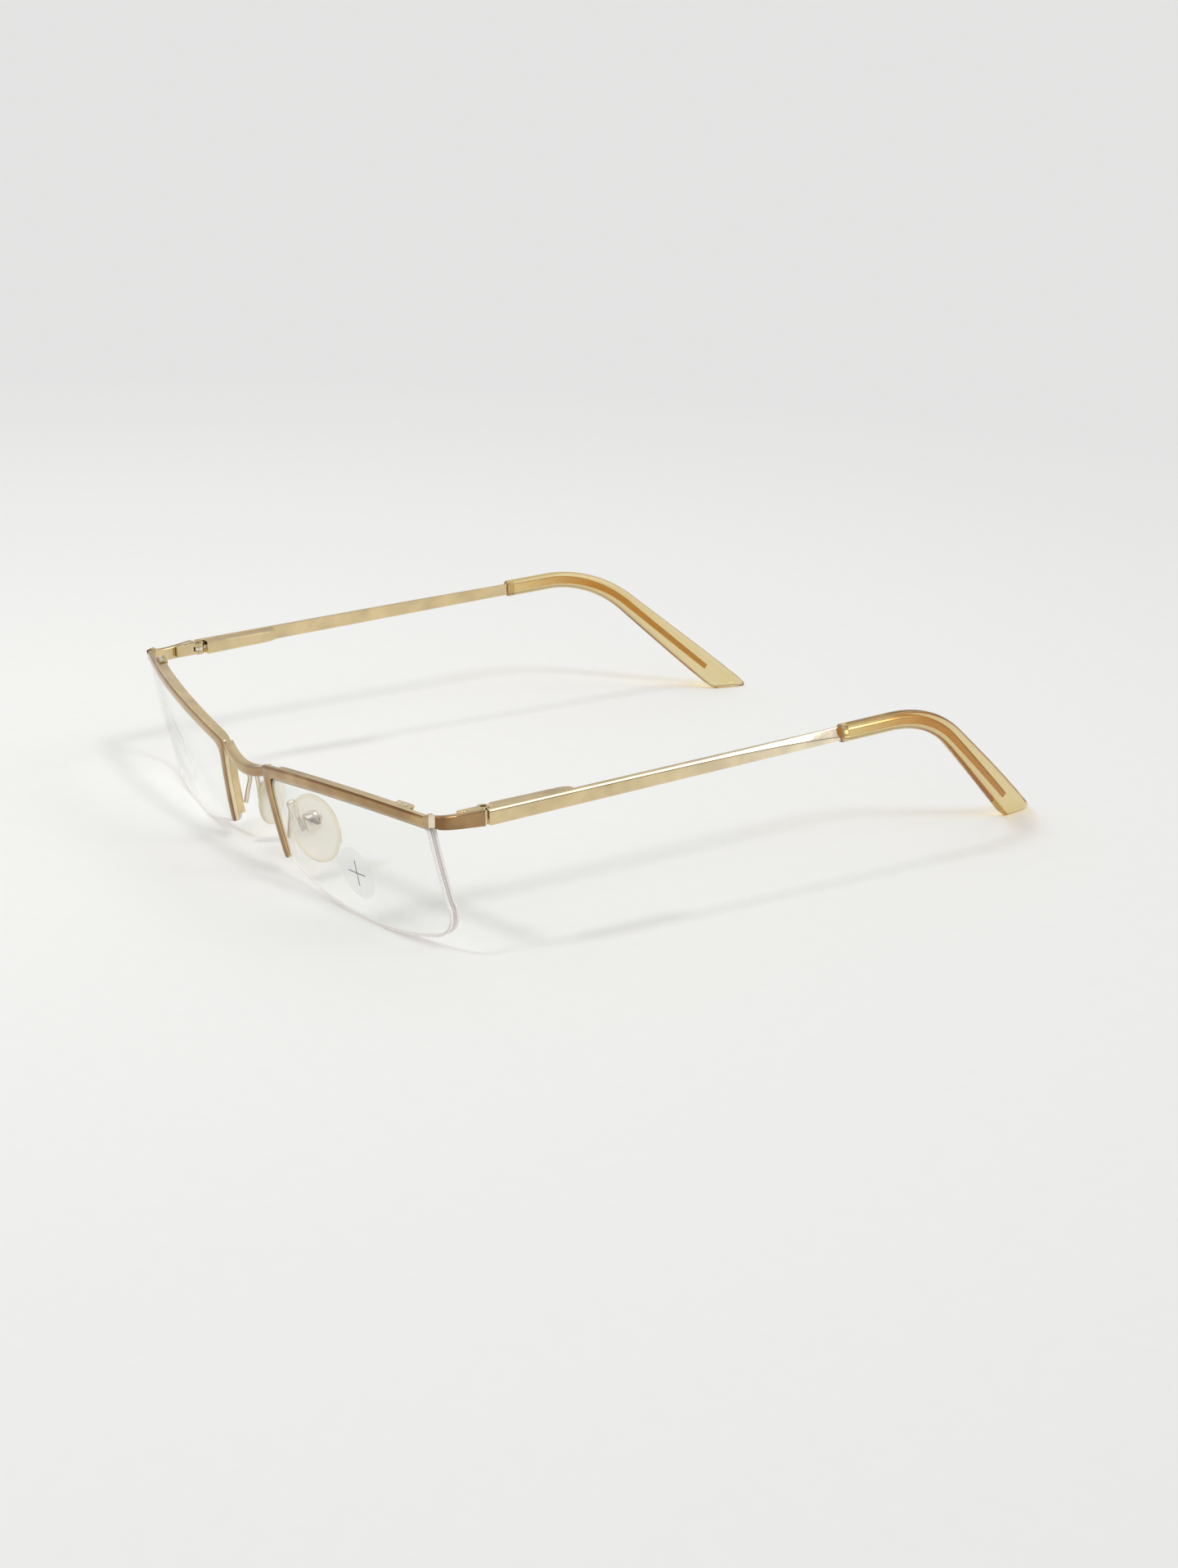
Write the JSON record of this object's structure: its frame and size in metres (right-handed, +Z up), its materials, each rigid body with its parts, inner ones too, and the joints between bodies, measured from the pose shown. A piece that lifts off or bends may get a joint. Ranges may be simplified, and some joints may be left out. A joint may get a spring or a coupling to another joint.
{
  "type": "semi-rimless eyeglasses",
  "caption": "Half-rim spectacles with slim metal brow bars, cord-held clear lenses, wire-mounted nose pads and sprung folding temples with bent amber tips, standing open.",
  "frame": {"origin": "on the table, at the middle of the footprint of the open glasses", "axes": "+X towards the wearer's left, +Y back along the temples, +Z up from the table"},
  "size_m": [0.1312, 0.154, 0.031],
  "materials": {
    "gold_plate": "champagne gold plate, polished",
    "steel": "polished, pale",
    "lens_plastic": "clear, polished",
    "nylon": "clear monofilament",
    "tip_plastic": "clear amber, polished",
    "pad_plastic": "soft translucent cream"
  },
  "bodies": {
    "front": {"bridge": "gold_plate", "left_rim": "gold_plate", "left_lens_channel": "gold_plate", "left_rim_liner": "nylon", "left_lens": "lens_plastic", "left_nylon_cord": "nylon", "left_endpiece": "gold_plate", "left_hinge_lug": "gold_plate", "left_pad_arm": "steel", "left_pad_box": "steel", "left_pad_screw": "steel", "right_rim": "gold_plate", "right_lens_channel": "gold_plate", "right_rim_liner": "nylon", "right_lens": "lens_plastic", "right_nylon_cord": "nylon", "right_endpiece": "gold_plate", "right_hinge_lug": "gold_plate", "right_pad_arm": "steel", "right_pad_box": "steel", "right_pad_screw": "steel"},
    "left_screw": {"left_hinge_screw": "steel"},
    "right_screw": {"right_hinge_screw": "steel"},
    "left_temple": {"left_temple_bar": "gold_plate", "left_temple_tip": "tip_plastic", "left_spring_box": "gold_plate", "left_flex_spring": "steel"},
    "right_temple": {"right_temple_bar": "gold_plate", "right_temple_tip": "tip_plastic", "right_spring_box": "gold_plate", "right_flex_spring": "steel"},
    "left_tongue": {"left_flex_tongue": "steel", "left_spring_stop": "steel"},
    "right_tongue": {"right_flex_tongue": "steel", "right_spring_stop": "steel"},
    "left_pad": {"left_nose_pad": "pad_plastic", "left_pad_stem": "steel"},
    "right_pad": {"right_nose_pad": "pad_plastic", "right_pad_stem": "steel"}
  },
  "joints": [
    {"name": "left_temple_fold", "type": "hinge", "parent": "front", "child": "left_screw", "pos_m": [0.0628, -0.05795, 0.02636], "axis": [0, -0.0349, 0.9994], "range_deg": [0, 88]},
    {"name": "right_temple_fold", "type": "hinge", "parent": "front", "child": "right_screw", "pos_m": [-0.0628, -0.05795, 0.02636], "axis": [0, 0.0349, -0.9994], "range_deg": [0, 80]},
    {"name": "left_temple_flex", "type": "hinge", "parent": "left_screw", "child": "left_temple", "pos_m": [0.06541, -0.05824, 0.02635], "axis": [0, -0.0349, 0.9994], "range_deg": [-12, 0], "stiffness_Nm_per_rad": 0.25},
    {"name": "right_temple_flex", "type": "hinge", "parent": "right_screw", "child": "right_temple", "pos_m": [-0.06541, -0.05824, 0.02635], "axis": [0, 0.0349, -0.9994], "range_deg": [-12, 0], "stiffness_Nm_per_rad": 0.25},
    {"name": "left_flex_slide", "type": "slide", "parent": "left_temple", "child": "left_tongue", "axis": [0.007, -0.9994, -0.0349], "range_m": [0, 0.00078], "deforming": ["left_flex_spring"]},
    {"name": "right_flex_slide", "type": "slide", "parent": "right_temple", "child": "right_tongue", "axis": [-0.007, -0.9994, -0.0349], "range_m": [0, 0.00078], "deforming": ["right_flex_spring"]},
    {"name": "left_pad_rock", "type": "hinge", "parent": "front", "child": "left_pad", "pos_m": [0.01128, -0.0663, 0.01109], "axis": [0.3617, 0.865, 0.3477], "range_deg": [-6, 6]},
    {"name": "right_pad_rock", "type": "hinge", "parent": "front", "child": "right_pad", "pos_m": [-0.01128, -0.0663, 0.01109], "axis": [-0.3617, 0.865, 0.3477], "range_deg": [-6, 6]}
  ],
  "couplings": [
    {"joint": "left_flex_slide", "follows": "left_temple_flex", "m_per_rad": -0.002607},
    {"joint": "right_flex_slide", "follows": "right_temple_flex", "m_per_rad": -0.002607}
  ]
}
